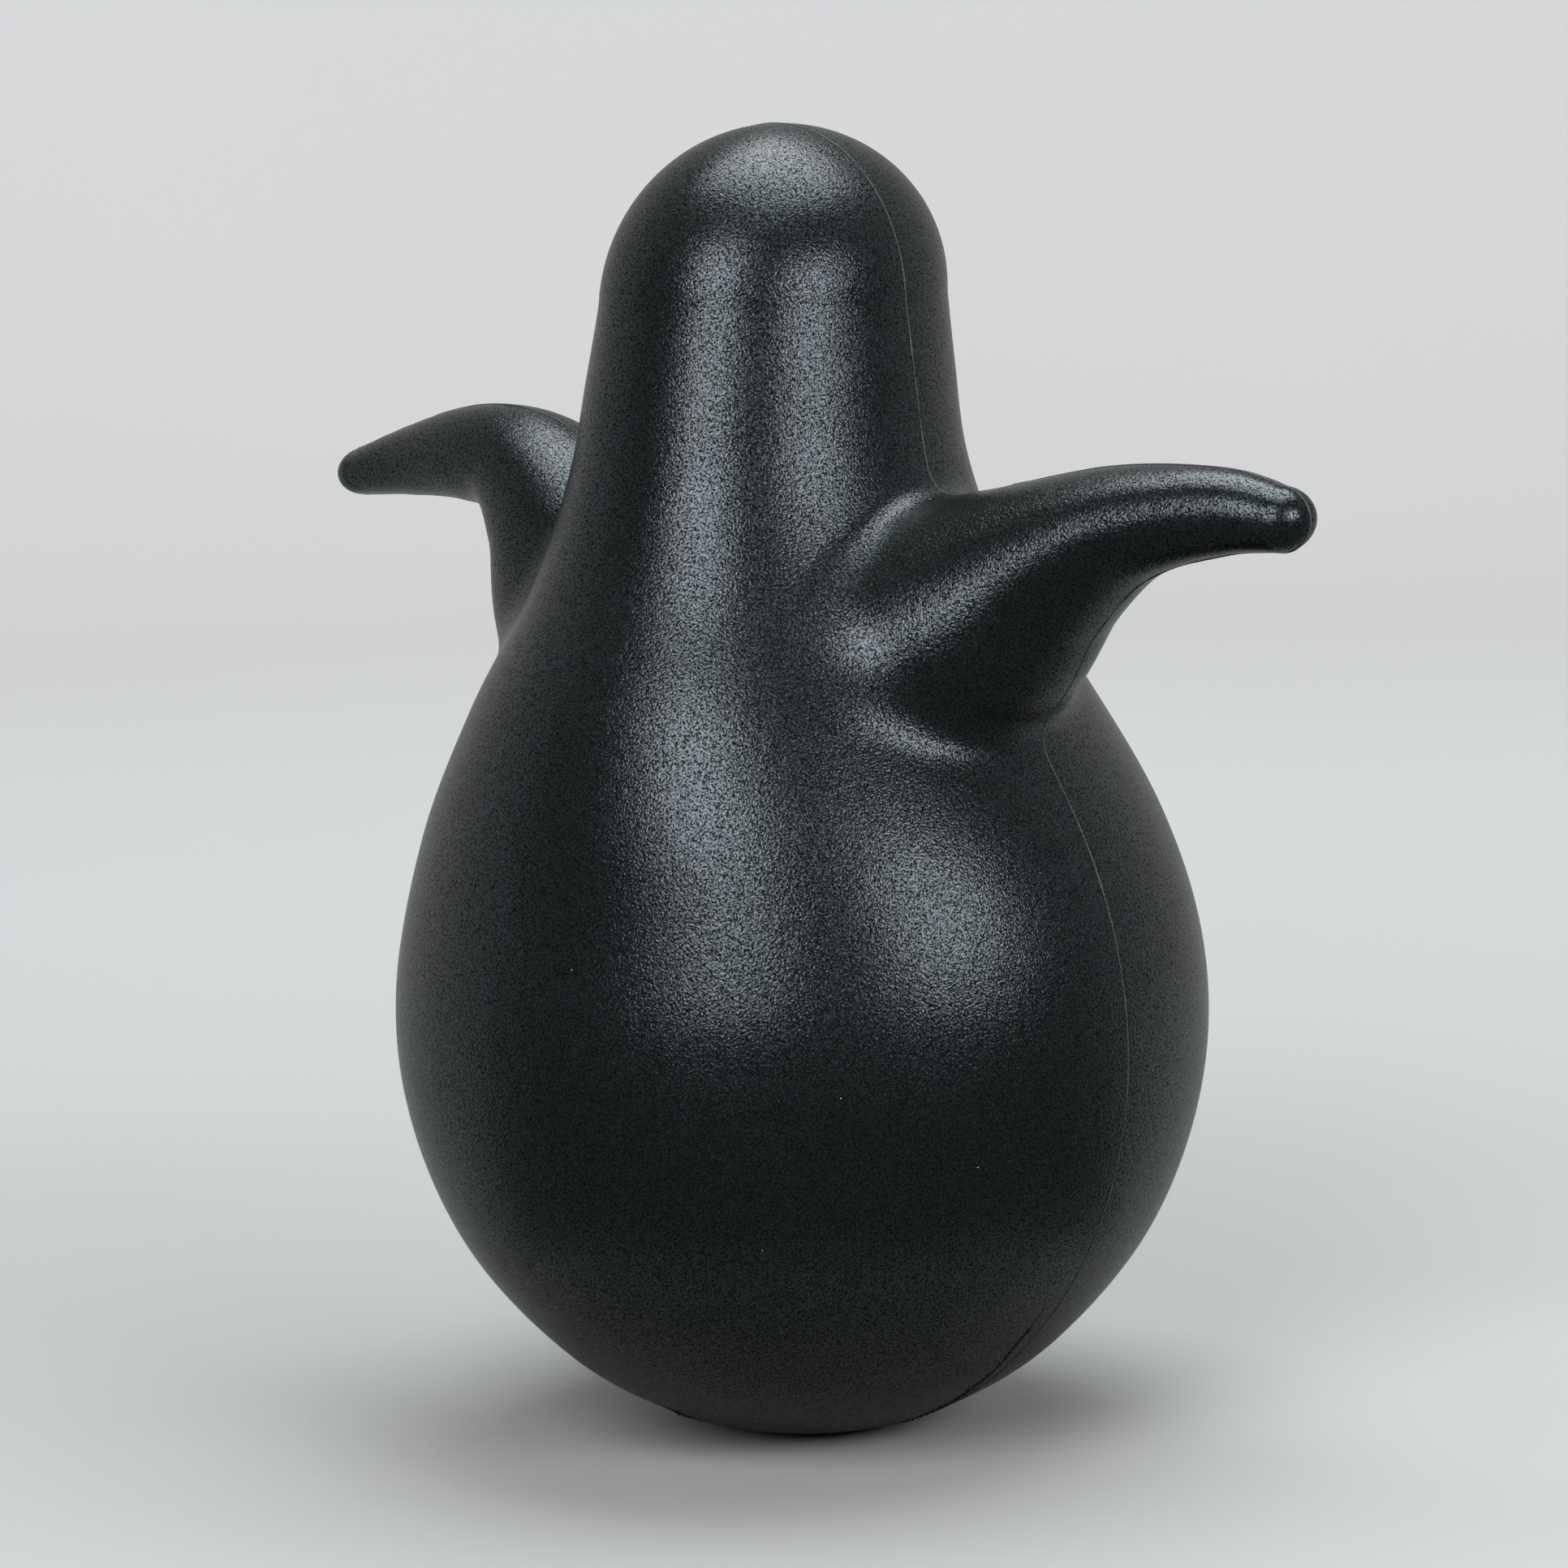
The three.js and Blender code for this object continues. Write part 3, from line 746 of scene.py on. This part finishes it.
BEARING, TILT, ROLL = math.radians(40.0), math.radians(8.28), math.radians(1.75)
AIM = Vector((0, 0, FLOOR_Z + 300 * MM))
towards = Vector((-math.sin(BEARING) * math.cos(TILT), math.cos(BEARING) * math.cos(TILT), math.sin(TILT)))
camera = bpy.data.objects.new("camera", bpy.data.cameras.new("camera"))
bpy.context.scene.collection.objects.link(camera)
camera.location = AIM + towards * 2819.9 * MM
camera.rotation_mode = "QUATERNION"
camera.rotation_quaternion = (-towards).to_track_quat("-Z", "Y") @ Matrix.Rotation(-ROLL, 3, "Z").to_quaternion()
camera.data.sensor_width = 36
camera.data.lens = 36 * 7575.1 / 1932
camera.data.shift_x = (966 - 979.9) / 1932
camera.data.shift_y = (961.15 - 966) / 1932
camera.data.clip_end = 50
bpy.context.scene.camera = camera


# ---------------------------------------------------------------- floor, backdrop and lights

def paper(name, dark, light):
    made, nodes, links, shader = material(name)
    coords = node(nodes, "ShaderNodeTexCoord").outputs["Object"]
    tint = node(nodes, "ShaderNodeMix", data_type="RGBA")
    tint.inputs[6].default_value = (*dark, 1)
    tint.inputs[7].default_value = (*light, 1)
    links.new(noise(nodes, links, coords, 1.3, 2.0), tint.inputs[0])
    # the black plastic mirrors this paper a little darker than the camera sees it
    mirrored = ramp(nodes, links, node(nodes, "ShaderNodeLightPath").outputs["Is Glossy Ray"], 0, 1, 1.0, 0.6)
    seen = node(nodes, "ShaderNodeVectorMath", operation="SCALE")
    links.new(tint.outputs[2], seen.inputs[0])
    links.new(mirrored, seen.inputs["Scale"])
    links.new(seen.outputs[0], shader.inputs["Base Color"])
    shader.inputs["Roughness"].default_value = 0.9
    shader.inputs["Specular IOR Level"].default_value = 0.1
    # the far paper is lit on its own: this glow stands for those lamps
    reach = node(nodes, "ShaderNodeVectorMath", operation="LENGTH")
    links.new(coords, reach.inputs[0])
    glow = node(nodes, "ShaderNodeFloatCurve")
    links.new(math_node(nodes, links, "DIVIDE", reach.outputs["Value"], 6.0), glow.inputs["Value"])
    curve = glow.mapping.curves[0]
    for x, y in ((0.05, 0.0), (0.09, 0.03), (0.17, 0.14), (0.34, 0.31), (0.53, 0.37), (0.75, 0.45)):
        curve.points.new(x, y)
    curve.points[-1].location = (1, 0.48)
    glow.mapping.update()
    shader.inputs["Emission Color"].default_value = (0.97, 0.98, 1.0, 1)
    links.new(math_node(nodes, links, "MULTIPLY", glow.outputs[0], mirrored), shader.inputs["Emission Strength"])
    return made


def studio_bowl():
    """A pale floor that curves up into a round backdrop. The side towards the camera is kept out of reflections."""
    turn = math.atan2(towards.y, towards.x)
    rows = [(0.0, 0.0), (0.24, 0.0), (1.5, 0.0), (3.2, 0.0)]
    bend = 1.5
    rows += [(3.2 + bend * math.sin(a), bend * (1 - math.cos(a))) for a in np.linspace(0, math.pi / 2, 20)[1:]]
    rows += [(3.2 + bend, 5.5)]
    sheet = paper("paper", (0.37, 0.37, 0.375), (0.40, 0.40, 0.405))
    for name, first, last, near in (
        ("floor_middle", 0, 1, None), ("backdrop", 1, len(rows) - 1, False), ("open_side", 1, len(rows) - 1, True),
    ):
        angles = np.linspace(0, 2 * math.pi, 97) if near is None else np.linspace(-0.5, 0.5, 65) * math.pi
        centre = turn + (0 if near else math.pi)
        used = rows[first:last + 1]
        points = [
            (r * math.cos(centre + a), r * math.sin(centre + a), FLOOR_Z + h - 0.0003) for r, h in used for a in angles
        ]
        n = len(angles)
        faces = [
            [k * n + c, k * n + c + 1, (k + 1) * n + c + 1, (k + 1) * n + c][::-1]
            for k in range(len(used) - 1) for c in range(n - 1)
        ]
        mesh = bpy.data.meshes.new(name)
        mesh.from_pydata(points, [], faces)
        mesh.polygons.foreach_set("use_smooth", np.ones(len(mesh.polygons), bool))
        made = new_object(name, mesh)
        paint(made, sheet)
        if near:
            made.visible_glossy = made.visible_diffuse = made.visible_shadow = False


studio_bowl()


def softbox(name, azimuth, elevation, distance, width, height, radiance, colour=(1, 1, 1), turn=0):
    """An area light aimed at the figure; azimuth is from the camera's side, positive to its right."""
    lamp = bpy.data.lights.new(name, "AREA")
    lamp.shape, lamp.size, lamp.size_y = "RECTANGLE", width, height
    lamp.energy, lamp.color = 4 * width * height * radiance, colour
    made = bpy.data.objects.new(name, lamp)
    bpy.context.scene.collection.objects.link(made)
    flat = Vector((towards.x, towards.y, 0)).normalized()
    right = Vector((-flat.y, flat.x, 0))
    a, e = math.radians(azimuth), math.radians(elevation)
    way = (flat * math.cos(a) + right * math.sin(a)) * math.cos(e) + Vector((0, 0, math.sin(e)))
    target = Vector((0, 0, FLOOR_Z + 0.3))
    made.location = target + way * distance
    made.rotation_mode = "QUATERNION"
    made.rotation_quaternion = (-way).to_track_quat("-Z", "Y") @ Matrix.Rotation(math.radians(turn), 3, "Z").to_quaternion()
    made.visible_camera = False
    return made


softbox("left_box", -22, 30, 2.6, 1.35, 1.9, 6.0)
softbox("right_box", 43.5, 20, 2.6, 1.4, 0.9, 7.3)
softbox("top_box", 140, 78, 2.2, 2.1, 1.7, 4.6, (0.94, 1.0, 0.97))


def studio_world():
    """Pale where the camera looks past the paper; for the object, dark towards the camera and dim behind."""
    world = bpy.data.worlds.new("studio")
    bpy.context.scene.world = world
    world.use_nodes = True
    nodes, links = world.node_tree.nodes, world.node_tree.links
    room, seen = nodes["Background"], node(nodes, "ShaderNodeBackground")
    room.inputs["Color"].default_value = (0.9, 0.95, 1.0, 1)
    room.inputs["Strength"].default_value = 0.17
    seen.inputs["Color"].default_value = (0.66, 0.665, 0.69, 1)
    mix = node(nodes, "ShaderNodeMixShader")
    links.new(node(nodes, "ShaderNodeLightPath").outputs["Is Camera Ray"], mix.inputs[0])
    links.new(room.outputs[0], mix.inputs[1])
    links.new(seen.outputs[0], mix.inputs[2])
    links.new(mix.outputs[0], nodes["World Output"].inputs["Surface"])


studio_world()
bpy.context.scene.view_settings.view_transform = "Standard"
bpy.context.scene.view_settings.look = "None"
